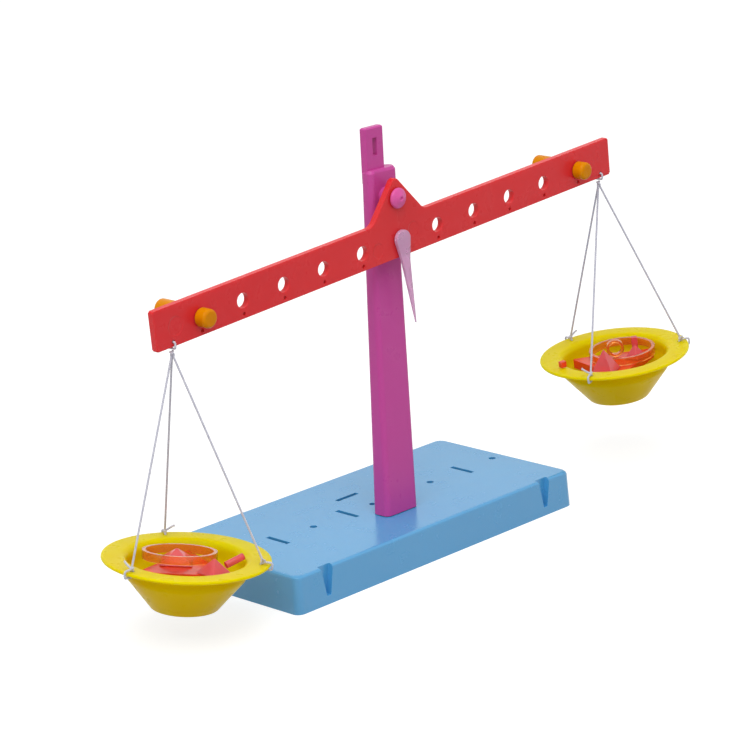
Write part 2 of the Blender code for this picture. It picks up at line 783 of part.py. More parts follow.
def centre_on_origin(root):
    # Slides the whole scale so that the middle of its outline stands over the origin.
    bpy.context.view_layer.update()
    graph = bpy.context.evaluated_depsgraph_get()
    points = []
    for item in bpy.data.objects:
        if item.type == "MESH" and not item.hide_render:
            shown = item.evaluated_get(graph)
            points += [shown.matrix_world @ vertex.co for vertex in shown.data.vertices]
    for axis in (0, 1):
        places = [point[axis] for point in points]
        root.location[axis] -= (min(places) + max(places)) / 2


def build():
    clear_scene()
    blue = plastic("base_blue", (0.20, 0.50, 0.78), 0.25)
    magenta = plastic("post_magenta", (0.44, 0.045, 0.28), 0.32)
    red = plastic("beam_red", (0.62, 0.035, 0.040), 0.30)
    orange = plastic("peg_orange", (0.70, 0.32, 0.010), 0.35)
    lilac = plastic("pointer_lilac", (0.56, 0.30, 0.45), 0.25, 0.8)
    yellow = plastic("pan_yellow", (0.70, 0.56, 0.015), 0.28)
    white = plastic("thread_white", (0.62, 0.62, 0.68), 0.80)
    pink = plastic("weight_pink", (0.72, 0.09, 0.10), 0.20, 0.8)
    scarlet = plastic("weight_scarlet", (0.65, 0.02, 0.01), 0.20, 0.8)
    amber = plastic("weight_amber", (0.72, 0.22, 0.04), 0.20, 0.7)

    root = empty("scale")
    build_base(root, blue)
    post_frame = empty("post_frame", (0.0, -post_offset, 0.0), root)
    build_post(post_frame, magenta)

    beam_back = -(post_half_depth(pivot_height) + boss_height + gap)
    beam_front = beam_back - beam_thickness
    pivot = Vector((0.0, -post_offset, pivot_height))
    pin_frame = empty("pin_frame", pivot, root)
    build_pin(pin_frame, magenta, beam_front)
    beam_axis = empty("beam_axis", pivot, root, (0.0, -math.radians(beam_rest_tilt_deg), 0.0))
    build_beam(beam_axis, red, beam_front)
    build_pointer(beam_axis, lilac, beam_front)

    tilt = Matrix.Rotation(-math.radians(beam_rest_tilt_deg), 3, "Y")
    sides = (("left", -1, left_pan_drop, left_pan_swing_deg, left_pan_turn_deg,
              left_pan_tip_deg, left_pan_tip_towards_deg),
             ("right", 1, right_pan_drop, right_pan_swing_deg, right_pan_turn_deg,
              right_pan_tip_deg, right_pan_tip_towards_deg))
    for name, side, drop, swing_deg, turn_deg, tip_deg, towards_deg in sides:
        build_peg(name, side, beam_axis, orange, beam_front)
        middle = beam_front + beam_thickness / 2
        hole = Vector((side * string_hole_reach, middle, -pivot_rise - string_hole_drop))
        hole = pivot + tilt @ hole
        hang = empty(f"{name}_hang", hole, root)
        knot_drop = build_hanger(name, hang, white, middle)
        swing = (0.0, -side * math.radians(swing_deg), 0.0)
        apex_frame = empty(f"{name}_apex", (0.0, 0.0, knot_drop), hang, swing)
        finish(f"{name}_apex_knot", ball(apex_knot_radius, Vector((0, 0, 0))), white, apex_frame)

        # The pan is tipped about the middle of its rim, so its strings differ a little.
        pan_frame = empty(f"{name}_pan_frame", (0.0, 0.0, -drop - knot_drop), apex_frame)
        lean_axis = Matrix.Rotation(math.radians(towards_deg + 90), 3, "Z") @ Vector((1, 0, 0))
        lean = Matrix.Rotation(math.radians(tip_deg), 3, lean_axis)
        pan_frame.rotation_euler = lean.to_euler()
        build_pan(name, pan_frame, yellow, turn_deg)
        apex = lean.inverted() @ Vector((0.0, 0.0, drop + knot_drop))
        for index in range(pan_strings):
            angle = math.radians(turn_deg + 360 * index / pan_strings)
            build_string(f"{name}_string_{index + 1}", pan_frame, apex, angle, white)

    build_left_heap(bpy.data.objects["left_pan_frame"], pink, scarlet, amber)
    build_right_heap(bpy.data.objects["right_pan_frame"], pink, scarlet, amber)
    centre_on_origin(root)


build()
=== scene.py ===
import json
import math

import bmesh
import bpy
from mathutils import Matrix, Vector

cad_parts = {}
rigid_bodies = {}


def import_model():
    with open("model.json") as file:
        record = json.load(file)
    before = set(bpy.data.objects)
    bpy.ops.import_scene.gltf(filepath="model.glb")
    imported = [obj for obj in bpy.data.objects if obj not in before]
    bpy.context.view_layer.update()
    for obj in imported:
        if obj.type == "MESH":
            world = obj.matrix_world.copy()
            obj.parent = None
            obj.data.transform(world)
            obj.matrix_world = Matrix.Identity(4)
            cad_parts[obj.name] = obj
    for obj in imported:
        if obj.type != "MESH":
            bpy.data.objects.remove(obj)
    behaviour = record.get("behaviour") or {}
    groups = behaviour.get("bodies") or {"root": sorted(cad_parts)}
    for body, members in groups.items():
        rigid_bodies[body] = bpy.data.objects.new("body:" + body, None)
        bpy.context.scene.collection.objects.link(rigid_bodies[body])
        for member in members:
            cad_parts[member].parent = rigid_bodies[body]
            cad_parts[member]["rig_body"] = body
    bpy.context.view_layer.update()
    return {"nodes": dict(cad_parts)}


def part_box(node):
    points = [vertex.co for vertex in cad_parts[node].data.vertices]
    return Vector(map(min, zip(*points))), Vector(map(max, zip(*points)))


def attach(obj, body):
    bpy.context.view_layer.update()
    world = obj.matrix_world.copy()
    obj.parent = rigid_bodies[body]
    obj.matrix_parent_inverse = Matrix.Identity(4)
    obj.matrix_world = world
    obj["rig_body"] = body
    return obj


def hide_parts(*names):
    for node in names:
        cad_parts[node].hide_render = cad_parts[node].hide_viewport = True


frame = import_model()
nodes = frame["nodes"]
print("frame loaded,", len(nodes), "nodes")


# Camera and light

cameraLook = {
    "lens": 144.3,
    "sensor": 36.0,
    "place": (-0.7672, -0.7558, 0.3836),
    "heading": -45.19,     # degrees, 0 looks along +Y
    "elevation": 16.45,
    "roll": -2.95,
    "reach": 30.0,
}

studio = {
    "worldDiffuse": 0.62,
    "keyPower": 17.0,
    "keySize": 1.3,
    "keyPlace": (-0.67, -0.51, 1.45),
    "fillPower": 0.8,
    "fillSize": 1.4,
    "fillPlace": (1.10, -0.60, 0.70),
    "aimHeight": 0.07,
    "floorSize": 12.0,
    "floorShown": 0.45,    # how strongly the floor takes light where the camera sees it
    "floorGlow": 0.72,
    "floorBounce": 0.46,
    "shadeInset": 0.0016,  # of the painted-shade card under the hollow base, from its outline
    "shadeRise": 0.0003,
}


def makeCamera(look):
    data = bpy.data.cameras.new("photoCamera")
    data.lens = look["lens"]
    data.sensor_width = look["sensor"]
    data.clip_end = look["reach"]
    camera = bpy.data.objects.new("photoCamera", data)
    bpy.context.collection.objects.link(camera)
    turn = (Matrix.Rotation(math.radians(look["heading"]), 4, "Z")
            @ Matrix.Rotation(math.radians(90 - look["elevation"]), 4, "X")
            @ Matrix.Rotation(math.radians(look["roll"]), 4, "Z"))
    camera.matrix_world = Matrix.Translation(look["place"]) @ turn
    bpy.context.scene.camera = camera


def areaLamp(name, place, power, size):
    data = bpy.data.lights.new(name, "AREA")
    data.energy = power
    data.size = size
    lamp = bpy.data.objects.new(name, data)
    bpy.context.collection.objects.link(lamp)
    lamp.location = place
    aim = Vector((0, 0, studio["aimHeight"])) - Vector(place)
    lamp.rotation_euler = aim.to_track_quat("-Z", "Y").to_euler()


def shownWhite(tree, plain, backdrop):
    # Camera, mirror and see-through rays meet the backdrop, and all other rays the plain shader.
    path = tree.nodes.new("ShaderNodeLightPath")
    seen = path.outputs["Is Camera Ray"]
    for ray in ("Is Glossy Ray", "Is Transmission Ray"):
        either = tree.nodes.new("ShaderNodeMath")
        either.operation = "MAXIMUM"
        tree.links.new(seen, either.inputs[0])
        tree.links.new(path.outputs[ray], either.inputs[1])
        seen = either.outputs[0]
    mix = tree.nodes.new("ShaderNodeMixShader")
    tree.links.new(seen, mix.inputs[0])
    tree.links.new(plain, mix.inputs[1])
    tree.links.new(backdrop, mix.inputs[2])
    return mix.outputs[0]


def sheet(name, bm, material):
    mesh = bpy.data.meshes.new(name)
    bm.to_mesh(mesh)
    bm.free()
    mesh.materials.append(material)
    flat = bpy.data.objects.new(name, mesh)
    bpy.context.collection.objects.link(flat)
    return flat


def makeStudio(look):
    world = bpy.data.worlds.new("studio")
    world.use_nodes = True
    tree = world.node_tree
    plain = tree.nodes["Background"]
    plain.inputs["Color"].default_value = (1, 1, 1, 1)
    plain.inputs["Strength"].default_value = look["worldDiffuse"]
    white = tree.nodes.new("ShaderNodeBackground")
    white.inputs["Color"].default_value = (1, 1, 1, 1)
    white.inputs["Strength"].default_value = 1.0
    shown = shownWhite(tree, plain.outputs[0], white.outputs[0])
    tree.links.new(shown, tree.nodes["World Output"].inputs["Surface"])
    bpy.context.scene.world = world

    areaLamp("keyLamp", look["keyPlace"], look["keyPower"], look["keySize"])
    areaLamp("fillLamp", look["fillPlace"], look["fillPower"], look["fillSize"])

    paper = bpy.data.materials.new("whitePaper")
    paper.use_nodes = True
    tree = paper.node_tree
    tree.nodes.remove(tree.nodes["Principled BSDF"])
    bounce = tree.nodes.new("ShaderNodeBsdfDiffuse")
    bounce.inputs["Color"].default_value = (*[look["floorBounce"]] * 3, 1)
    matt = tree.nodes.new("ShaderNodeBsdfDiffuse")
    matt.inputs["Color"].default_value = (*[look["floorShown"]] * 3, 1)
    glow = tree.nodes.new("ShaderNodeEmission")
    glow.inputs["Strength"].default_value = look["floorGlow"]
    both = tree.nodes.new("ShaderNodeAddShader")
    tree.links.new(matt.outputs[0], both.inputs[0])
    tree.links.new(glow.outputs[0], both.inputs[1])
    shown = shownWhite(tree, bounce.outputs[0], both.outputs[0])
    tree.links.new(shown, tree.nodes["Material Output"].inputs["Surface"])
    bm = bmesh.new()
    bmesh.ops.create_grid(bm, x_segments=1, y_segments=1, size=look["floorSize"] / 2)
    floor = sheet("studioFloor", bm, paper)
    bpy.context.scene.view_settings.view_transform = "Standard"


def makeUnderShade(look):
    # A grey card in the hollow under the base, painted shade for the floor that lies in the base's shadow,
    # so that its holes don't show the floor's glow.
    card = bpy.data.materials.new("paintedShadeCard")
    card.use_nodes = True
    shader = card.node_tree.nodes["Principled BSDF"]
    shader.inputs["Base Color"].default_value = (*[look["floorBounce"]] * 3, 1)
    shader.inputs["Roughness"].default_value = 1.0
    low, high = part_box("base")
    x0, y0 = low[0] + look["shadeInset"], low[1] + look["shadeInset"]
    x1, y1 = high[0] - look["shadeInset"], high[1] - look["shadeInset"]
    rise = low[2] + look["shadeRise"]
    corners = [(x0, y0), (x1, y0), (x1, y1), (x0, y1)]
    bm = bmesh.new()
    bm.faces.new([bm.verts.new((x, y, rise)) for x, y in corners])
    shade = sheet("underShade", bm, card)


makeCamera(cameraLook)
makeStudio(studio)
makeUnderShade(studio)
print("camera and studio made")


# Finishes: moulded plastic and thread

def colour(*rgb):
    # From the 0 to 255 values of a colour picker to the shader's linear values.
    shares = [value / 255 for value in rgb]
    return [s / 12.92 if s <= 0.04045 else ((s + 0.055) / 1.055) ** 2.4 for s in shares] + [1.0]


def noise(tree, coords, scale, detail=2.0, stretch=(1, 1, 1)):
    mapping = tree.nodes.new("ShaderNodeMapping")
    mapping.inputs["Scale"].default_value = stretch
    tree.links.new(coords, mapping.inputs["Vector"])
    texture = tree.nodes.new("ShaderNodeTexNoise")
    texture.inputs["Scale"].default_value = scale
    texture.inputs["Detail"].default_value = detail
    tree.links.new(mapping.outputs["Vector"], texture.inputs["Vector"])
    return texture.outputs["Fac"]


def spread(tree, value, low, high, fromLow=0.3, fromHigh=0.7):
    ranged = tree.nodes.new("ShaderNodeMapRange")
    ranged.inputs["From Min"].default_value = fromLow
    ranged.inputs["From Max"].default_value = fromHigh
    ranged.inputs["To Min"].default_value = low
    ranged.inputs["To Max"].default_value = high
    tree.links.new(value, ranged.inputs["Value"])
    return ranged.outputs["Result"]


def bump(tree, height, strength, distance, under=None):
    node = tree.nodes.new("ShaderNodeBump")
    node.inputs["Strength"].default_value = strength
    node.inputs["Distance"].default_value = distance
    tree.links.new(height, node.inputs["Height"])
    if under:
        tree.links.new(under, node.inputs["Normal"])
    return node.outputs["Normal"]


mouldLook = {
    "ior": 1.5,
    "hazeScale": 160.0,
    "peelScale": 500.0,
    "peelDepth": 0.00008,
    "rubScale": 420.0,
    "rubRange": (0.4, 0.8),
    "rubDepth": 0.00003,
    "markDepth": 0.00015,
    "markSoftness": 0.06,  # of an ejector mark's step, as a share of its radius
}


def mouldedPlastic(name, look):
    material = bpy.data.materials.new(name)
    material.use_nodes = True
    tree = material.node_tree
    shader = tree.nodes["Principled BSDF"]
    coords = tree.nodes.new("ShaderNodeTexCoord").outputs["Object"]

    # Slow swirls of colour where the melt flowed, and a haze of handling in the gloss.
    flow = noise(tree, coords, look["flowScale"], 3.0, look.get("flowStretch", (1, 1, 1)))
    tone = tree.nodes.new("ShaderNodeMixRGB")
    tone.inputs["Color1"].default_value = look["colour"]
    tone.inputs["Color2"].default_value = look["swirl"]
    tree.links.new(spread(tree, flow, 0.0, 1.0), tone.inputs["Fac"])
    tree.links.new(tone.outputs["Color"], shader.inputs["Base Color"])

    haze = noise(tree, coords, mouldLook["hazeScale"], 4.0)
    change = look["hazeShare"] * look["roughness"]
    roughness = spread(tree, haze, look["roughness"] - change, look["roughness"] + change)
    tree.links.new(roughness, shader.inputs["Roughness"])

    # Orange peel from the mould, hairline rubs, and the round marks of the mould's ejector pins.
    peel = noise(tree, coords, mouldLook["peelScale"], 1.0)
    normal = bump(tree, peel, look["peel"], mouldLook["peelDepth"])
    rubs = noise(tree, coords, mouldLook["rubScale"], 1.0, look.get("rubStretch", (0.05, 1.6, 1.6)))
    hairs = spread(tree, rubs, 0.0, 1.0, *mouldLook["rubRange"])
    normal = bump(tree, hairs, look["rubs"], mouldLook["rubDepth"], normal)
    for place, radius in look.get("ejectorMarks", []):
        flat = tree.nodes.new("ShaderNodeVectorMath")
        flat.operation = "MULTIPLY"
        flat.inputs[1].default_value = (1, 0, 1)
        tree.links.new(coords, flat.inputs[0])
        away = tree.nodes.new("ShaderNodeVectorMath")
        away.operation = "DISTANCE"
        away.inputs[1].default_value = (place.x, 0, place.z)
        tree.links.new(flat.outputs["Vector"], away.inputs[0])
        edge = radius * mouldLook["markSoftness"]
        step = spread(tree, away.outputs["Value"], 0.0, 1.0, radius - edge, radius + edge)
        normal = bump(tree, step, 1.0, mouldLook["markDepth"], normal)
    tree.links.new(normal, shader.inputs["Normal"])

    shader.inputs["IOR"].default_value = mouldLook["ior"]
    shader.inputs["Specular IOR Level"].default_value = look.get("shine", 0.22)
    shader.inputs["Subsurface Weight"].default_value = look.get("scatter", 0.0)
    shader.inputs["Subsurface Radius"].default_value = look.get("scatterRadius", (1.0, 0.4, 0.3))
    shader.inputs["Subsurface Scale"].default_value = look.get("scatterScale", 0.002)
    shader.inputs["Transmission Weight"].default_value = look.get("clear", 0.0)
    return material


def twistedThread(name, look):
    material = bpy.data.materials.new(name)
    material.use_nodes = True
    tree = material.node_tree
    shader = tree.nodes["Principled BSDF"]
    coords = tree.nodes.new("ShaderNodeTexCoord").outputs["Object"]
    fibres = noise(tree, coords, look["fibreScale"], 4.0, look["fibreStretch"])
    tone = tree.nodes.new("ShaderNodeMixRGB")
    tone.inputs["Color1"].default_value = look["colour"]
    tone.inputs["Color2"].default_value = look["shade"]
    tree.links.new(spread(tree, fibres, 0.0, 1.0), tone.inputs["Fac"])
    tree.links.new(tone.outputs["Color"], shader.inputs["Base Color"])
    tree.links.new(bump(tree, fibres, look["fibreBump"], look["fibreDepth"]), shader.inputs["Normal"])
    shader.inputs["Roughness"].default_value = look["roughness"]
    shader.inputs["Sheen Weight"].default_value = look["sheen"]
    shader.inputs["Sheen Roughness"].default_value = look["sheenRoughness"]
    return material


# Shapes

def finished(name, bm, material, smoothDeg=35.0):
    mesh = bpy.data.meshes.new(name)
    bm.to_mesh(mesh)
    bm.free()
    mesh.shade_smooth()
    mesh.set_sharp_from_angle(angle=math.radians(smoothDeg))
    piece = bpy.data.objects.new(name, mesh)
    bpy.context.collection.objects.link(piece)
    mesh.materials.append(material)
    return piece


def keepFlat(piece, smoothDeg=50.0):
    # Large faces hold their own normal, so that the eased edges don't shade across them.
    mesh = piece.data
    around = [[] for vertex in mesh.vertices]
    for face in mesh.polygons:
        for vertex in face.vertices:
            around[vertex].append(face)
    limit = math.cos(math.radians(smoothDeg))
    normals = []
    for face in mesh.polygons:
        for vertex in face.vertices:
            whole = Vector()
            for other in around[vertex]:
                if other.normal.dot(face.normal) > limit:
                    whole += other.normal * other.area
            normals.append(whole.normalized())
    mesh.normals_split_custom_set(normals)
    return piece


def bevelSharp(bm, width, segments=3, overDeg=28.0):
    # Eases every edge that turns by more than overDeg.
    sharp = [e for e in bm.edges if e.is_manifold and e.calc_face_angle() > math.radians(overDeg)]
    bmesh.ops.bevel(bm, geom=sharp, offset=width, offset_type="OFFSET", segments=segments, profile=0.5,
                    affect="EDGES", clamp_overlap=True, material=-1)


def fromCad(node, flatDeg=0.4):
    # A merged copy of a CAD node's mesh with clean flat faces.
    bm = bmesh.new()
    bm.from_mesh(nodes[node].data)
    bmesh.ops.remove_doubles(bm, verts=bm.verts, dist=0.000002)
    bmesh.ops.dissolve_limit(bm, angle_limit=math.radians(flatDeg), verts=bm.verts, edges=bm.edges,
                             use_dissolve_boundaries=False)
    return bm


def easedFromCad(node, width, segments=3):
    bm = fromCad(node)
    bevelSharp(bm, width, segments)
    return bm


def stands(piece, node):
    # The piece is shown for a CAD node and moves as it does.
    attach(piece, nodes[node]["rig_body"])
    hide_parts(node)


def easedLine(corners, steps=6):
    # Turns (x, y, radius) corners into a line whose inner corners are arcs.
    line = [Vector(corners[0][:2])]
    for back, here, ahead in zip(corners, corners[1:], corners[2:]):
        x, y, radius = here
        corner = Vector((x, y))
        if radius == 0:
            line.append(corner)
            continue
        before = (Vector(back[:2]) - corner).normalized()
        after = (Vector(ahead[:2]) - corner).normalized()
        half = before.angle(after) / 2
        centre = corner + (before + after).normalized() * radius / math.sin(half)
        start = corner + before * radius / math.tan(half) - centre
        end = corner + after * radius / math.tan(half) - centre
        sweep = end.angle_signed(start)
        for step in range(steps + 1):
            line.append(centre + Matrix.Rotation(sweep * step / steps, 2) @ start)
    line.append(Vector(corners[-1][:2]))
    return line


def spun(line, steps, axis="Z"):
    # Spins a (radius, height) line that starts and ends on its axis.
    bm = bmesh.new()
    corners = [bm.verts.new((x, 0.0, y)) for x, y in line]
    for pair in zip(corners, corners[1:]):
        bm.edges.new(pair)
    bmesh.ops.spin(bm, geom=bm.verts[:] + bm.edges[:], cent=(0, 0, 0), axis=(0, 0, 1),
                   angle=2 * math.pi, steps=steps, use_merge=True)
    bmesh.ops.remove_doubles(bm, verts=bm.verts, dist=0.000001)
    if axis == "Y":
        quarter = Matrix.Rotation(math.radians(90), 3, "X")
        bmesh.ops.rotate(bm, verts=bm.verts, cent=(0, 0, 0), matrix=quarter)
    bmesh.ops.recalc_face_normals(bm, faces=bm.faces)
    return bm


def middle(node):
    low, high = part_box(node)
    return (Vector(low) + Vector(high)) / 2


# Base

baseLook = {
    "edge": 0.00025,
    "finish": {
        "colour": colour(77, 160, 212), "swirl": colour(74, 156, 208),
        "flowScale": 22.0, "flowStretch": (0.6, 1.0, 1.0), "shine": 0.75,
        "roughness": 0.24, "hazeShare": 0.20, "peel": 0.02, "rubs": 0.015,
        "scatter": 0.08, "scatterRadius": (0.3, 0.7, 1.0), "scatterScale": 0.0015,
    },
}

blue = mouldedPlastic("bluePlastic", baseLook["finish"])
tray = keepFlat(finished("trayBase", easedFromCad("base", baseLook["edge"]), blue))
stands(tray, "base")
print("base made")


# Post and pin

postLook = {
    "edge": 0.00020,
    "finish": {
        "colour": colour(201, 76, 157), "swirl": colour(195, 71, 151),
        "flowScale": 30.0, "flowStretch": (1.0, 1.0, 0.2),
        "roughness": 0.33, "hazeShare": 0.20, "peel": 0.06, "rubs": 0.04,
        "rubStretch": (1.6, 1.6, 0.05),
        "scatter": 0.10, "scatterRadius": (1.0, 0.3, 0.7), "scatterScale": 0.0015,
    },
}

magenta = mouldedPlastic("magentaPlastic", postLook["finish"])
column = keepFlat(finished("columnPost", easedFromCad("post", postLook["edge"]), magenta))
stands(column, "post")

pinLook = {
    "radius": 0.0016,
    "headRadius": 0.0038,
    "headHeight": 0.0023,
    "skirt": 0.0010,
    "headRound": 0.0009,
    "crownRadius": 0.00119,
    "crownRound": 0.0005,
    "dimpleRadius": 0.0007,
    "dimpleFloor": 0.00049,
    "dimpleDepth": 0.0005,
    "smallRounds": (0.0003, 0.0002, 0.0002, 0.0003),  # tip, under the head, dimple's edge and floor
    "around": 64,
    "finish": {
        "colour": colour(222, 92, 164), "swirl": colour(214, 84, 156),
        "flowScale": 90.0, "roughness": 0.26, "hazeShare": 0.2, "peel": 0.06, "rubs": 0.03,
        "scatter": 0.10, "scatterRadius": (1.0, 0.3, 0.7), "scatterScale": 0.0015,
    },
}

brightMagenta = mouldedPlastic("brightMagentaPlastic", pinLook["finish"])


def makePin(look):
    low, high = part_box("pivot_pin")
    centre = middle("pivot_pin")
    length = high[1] - low[1]
    under = length - look["headHeight"]
    radius, head = look["radius"], look["headRadius"]
    floor = length - look["dimpleDepth"]
    tipRound, seatRound, edgeRound, floorRound = look["smallRounds"]
    line = easedLine([
        (0.0, 0.0, 0), (radius, 0.0, tipRound), (radius, under, 0), (head, under, seatRound),
        (head, under + look["skirt"], look["headRound"]),
        (look["crownRadius"], length, look["crownRound"]), (look["dimpleRadius"], length, edgeRound),
        (look["dimpleFloor"], floor, floorRound), (0.0, floor, 0),
    ])
    bm = spun(line, look["around"], "Y")
    bmesh.ops.translate(bm, verts=bm.verts, vec=(centre.x, high[1], centre.z))
    return finished("pivotPin", bm, brightMagenta)


stands(makePin(pinLook), "pivot_pin")
print("post and pin made")


# Beam and pointer

beamLook = {
    "edge": 0.00022,
    "edgeSteps": 2,
    # Ejector marks: place along the beam and above its line of holes, and radius.
    "marks": [(-0.1118, 0.0003, 0.0033), (-0.0118, -0.0014, 0.0027), (0.0072, 0.0020, 0.0027)],
    "finish": {
        "colour": colour(226, 49, 54), "swirl": colour(218, 44, 50),
        "flowScale": 26.0, "flowStretch": (0.4, 1.0, 1.0),
        "roughness": 0.30, "hazeShare": 0.20, "peel": 0.06, "rubs": 0.04,
        "scatter": 0.45, "scatterRadius": (1.0, 0.25, 0.18), "scatterScale": 0.003,
    },
}


def alongBeam(reach, rise):
    # A place on the beam, from the middle of its line of holes.
    left, right = middle("left_peg_barrel"), middle("right_peg_barrel")
    along = (right - left).normalized()
    up = Vector((-along.z, 0.0, along.x))
    return (left + right) / 2 + along * reach + up * rise


beamLook["finish"]["ejectorMarks"] = [(alongBeam(*mark[:2]), mark[2]) for mark in beamLook["marks"]]
red = mouldedPlastic("redPlastic", beamLook["finish"])
bar = easedFromCad("beam", beamLook["edge"], beamLook["edgeSteps"])
bar = keepFlat(finished("pointedBeam", bar, red))
stands(bar, "beam")

pointerLook = {
    "edge": 0.00025,
    "tipSlimming": 0.62,    # the share by which the tip is finer than the solid one
    "tipFrom": 0.97,
    "finish": {
        "colour": colour(240, 189, 226), "swirl": colour(230, 174, 214),
        "flowScale": 60.0, "roughness": 0.30, "hazeShare": 0.3, "peel": 0.10, "rubs": 0.03,
        "scatter": 0.5, "scatterRadius": (1.0, 0.8, 0.9), "scatterScale": 0.003, "clear": 0.35,
    },
}


def makeNeedle(look, material):
    # Draws each point of the CAD needle towards the line from its head to its tip.
    bm = fromCad("pointer")
    head, down = alongBeam(0.0, 0.0), alongBeam(0.0, -1.0) - alongBeam(0.0, 0.0)
    head.y = middle("pointer").y
    reach = max((vert.co - head).dot(down) for vert in bm.verts)
    ends = [vert.co for vert in bm.verts if (vert.co - head).dot(down) > look["tipFrom"] * reach]
    tip = sum(ends, Vector()) / len(ends)
    for vert in bm.verts:
        share = max(0.0, (vert.co - head).dot(down) / reach)
        vert.co = vert.co.lerp(head.lerp(tip, share), look["tipSlimming"] * share)
    bevelSharp(bm, look["edge"])
    return keepFlat(finished("pointerNeedle", bm, material))


lilac = mouldedPlastic("milkyLilac", pointerLook["finish"])
needle = makeNeedle(pointerLook, lilac)
stands(needle, "pointer")
print("beam and pointer made")


# Trim pegs

pegLook = {
    "radius": 0.0036,
    "capRadius": 0.0034,
    "capRound": 0.0012,
    "capProud": 0.0009,    # how far the photographed cap and barrel reach past the solid ones
    "barrelProud": 0.0018,
    "barrelRound": 0.0010,
    "edgeRound": 0.0003,
    "beamGap": 0.0003,
    "neckRadius": 0.0025,
    "boreGap": 0.0003,     # between the neck and the cap that is pushed on it
    "boreDepth": 0.0022,
    "around": 64,
    "finish": {
        "colour": colour(222, 142, 0), "swirl": colour(214, 132, 0),
        "flowScale": 90.0, "roughness": 0.18, "hazeShare": 0.2, "peel": 0.05, "rubs": 0.03, "shine": 0.07,
        "scatter": 0.25, "scatterRadius": (1.0, 0.6, 0.1), "scatterScale": 0.002,
    },
}

orange = mouldedPlastic("orangePlastic", pegLook["finish"])


def makePeg(side, look):
    low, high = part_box(f"{side}_peg_barrel")
    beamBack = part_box("beam")[1][1]
    centre = middle(f"{side}_peg_barrel")
    end = high[1] + look["barrelProud"]
    barrel = end - beamBack - look["beamGap"]
    whole = end - low[1]
    radius, neck, eased = look["radius"], look["neckRadius"], look["edgeRound"]
    line = easedLine([(0.0, 0.0, 0), (radius, 0.0, look["barrelRound"]), (radius, barrel, eased),
                      (neck, barrel, 0), (neck, whole, eased), (0.0, whole, 0)])
    bm = spun(line, look["around"], "Y")
    bmesh.ops.translate(bm, verts=bm.verts, vec=(centre.x, end, centre.z))
    stands(finished(f"{side}PegBarrel", bm, orange), f"{side}_peg_barrel")

    low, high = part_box(f"{side}_peg_cap")
    height = high[1] - low[1] + look["capProud"]
    radius, bore, depth = look["capRadius"], neck + look["boreGap"], look["boreDepth"]
    line = easedLine([(0.0, depth, 0), (bore, depth, 0), (bore, 0.0, 0), (radius, 0.0, eased),
                      (radius, height, look["capRound"]), (0.0, height, 0)], 8)
    bm = spun(line, look["around"], "Y")
    bmesh.ops.translate(bm, verts=bm.verts, vec=(centre.x, high[1], centre.z))
    stands(finished(f"{side}PegCap", bm, orange), f"{side}_peg_cap")


for side in ("left", "right"):
    makePeg(side, pegLook)
print("pegs made")


# Pans, in a frame whose origin is the middle of the rim

hangs = {
    "left": {"drop": 0.07351, "swing": 0.0, "tip": 6.4, "tipTowards": -20.0, "turn": 184.0},
    "right": {"drop": 0.07051, "swing": -5.4, "tip": 1.8, "tipTowards": 90.0, "turn": 80.0},
}

panLook = {
    "rim": 0.0298,
    "mouth": 0.0206,
    "mouthRound": 0.0028,
    "knee": 0.0203,
    "kneeDepth": 0.0060,
    "kneeRound": 0.0040,
    "kneeWall": (1.02, 0.45),  # how far the outer knee stands out and down, in walls
    "foot": 0.0114,
    "footRound": 0.0009,
    "floorRound": 0.0008,
    "depth": 0.0184,
    "wall": 0.0012,
    "rimRound": 0.98,      # of half the wall
    "underRimRound": 0.0008,
    "around": 144,
    "holeReach": 0.0265,
    "holeRadius": 0.00072,
    "finish": {
        "colour": colour(225, 195, 0), "swirl": colour(219, 187, 0),
        "flowScale": 40.0, "roughness": 0.30, "hazeShare": 0.20, "peel": 0.02, "rubs": 0.01, "shine": 0.04,
        "scatter": 1.0, "scatterRadius": (1.0, 0.8, 0.05), "scatterScale": 0.007,
    },
}

yellow = mouldedPlastic("yellowPlastic", panLook["finish"])


def panFrame(side):
    hang = hangs[side]
    towards = Matrix.Rotation(math.radians(hang["tipTowards"] + 90), 3, "Z") @ Vector((1, 0, 0))
    return (Matrix.Translation(middle(f"{side}_apex_knot"))
            @ Matrix.Rotation(math.radians(hang["swing"]), 4, "Y")
            @ Matrix.Translation((0, 0, -hang["drop"]))
            @ Matrix.Rotation(math.radians(hang["tip"]), 4, towards))


def cutRound(piece, cutters):
    # Cuts helper shapes out of a piece and makes the cut final.
    helper = finished("cutter", cutters, yellow)
    cut = piece.modifiers.new("holes", "BOOLEAN")
    cut.operation = "DIFFERENCE"
    cut.solver = "EXACT"
    cut.object = helper
    graph = bpy.context.evaluated_depsgraph_get()
    mesh = bpy.data.meshes.new_from_object(piece.evaluated_get(graph))
    piece.modifiers.clear()
    piece.data = mesh
    bpy.data.objects.remove(helper)


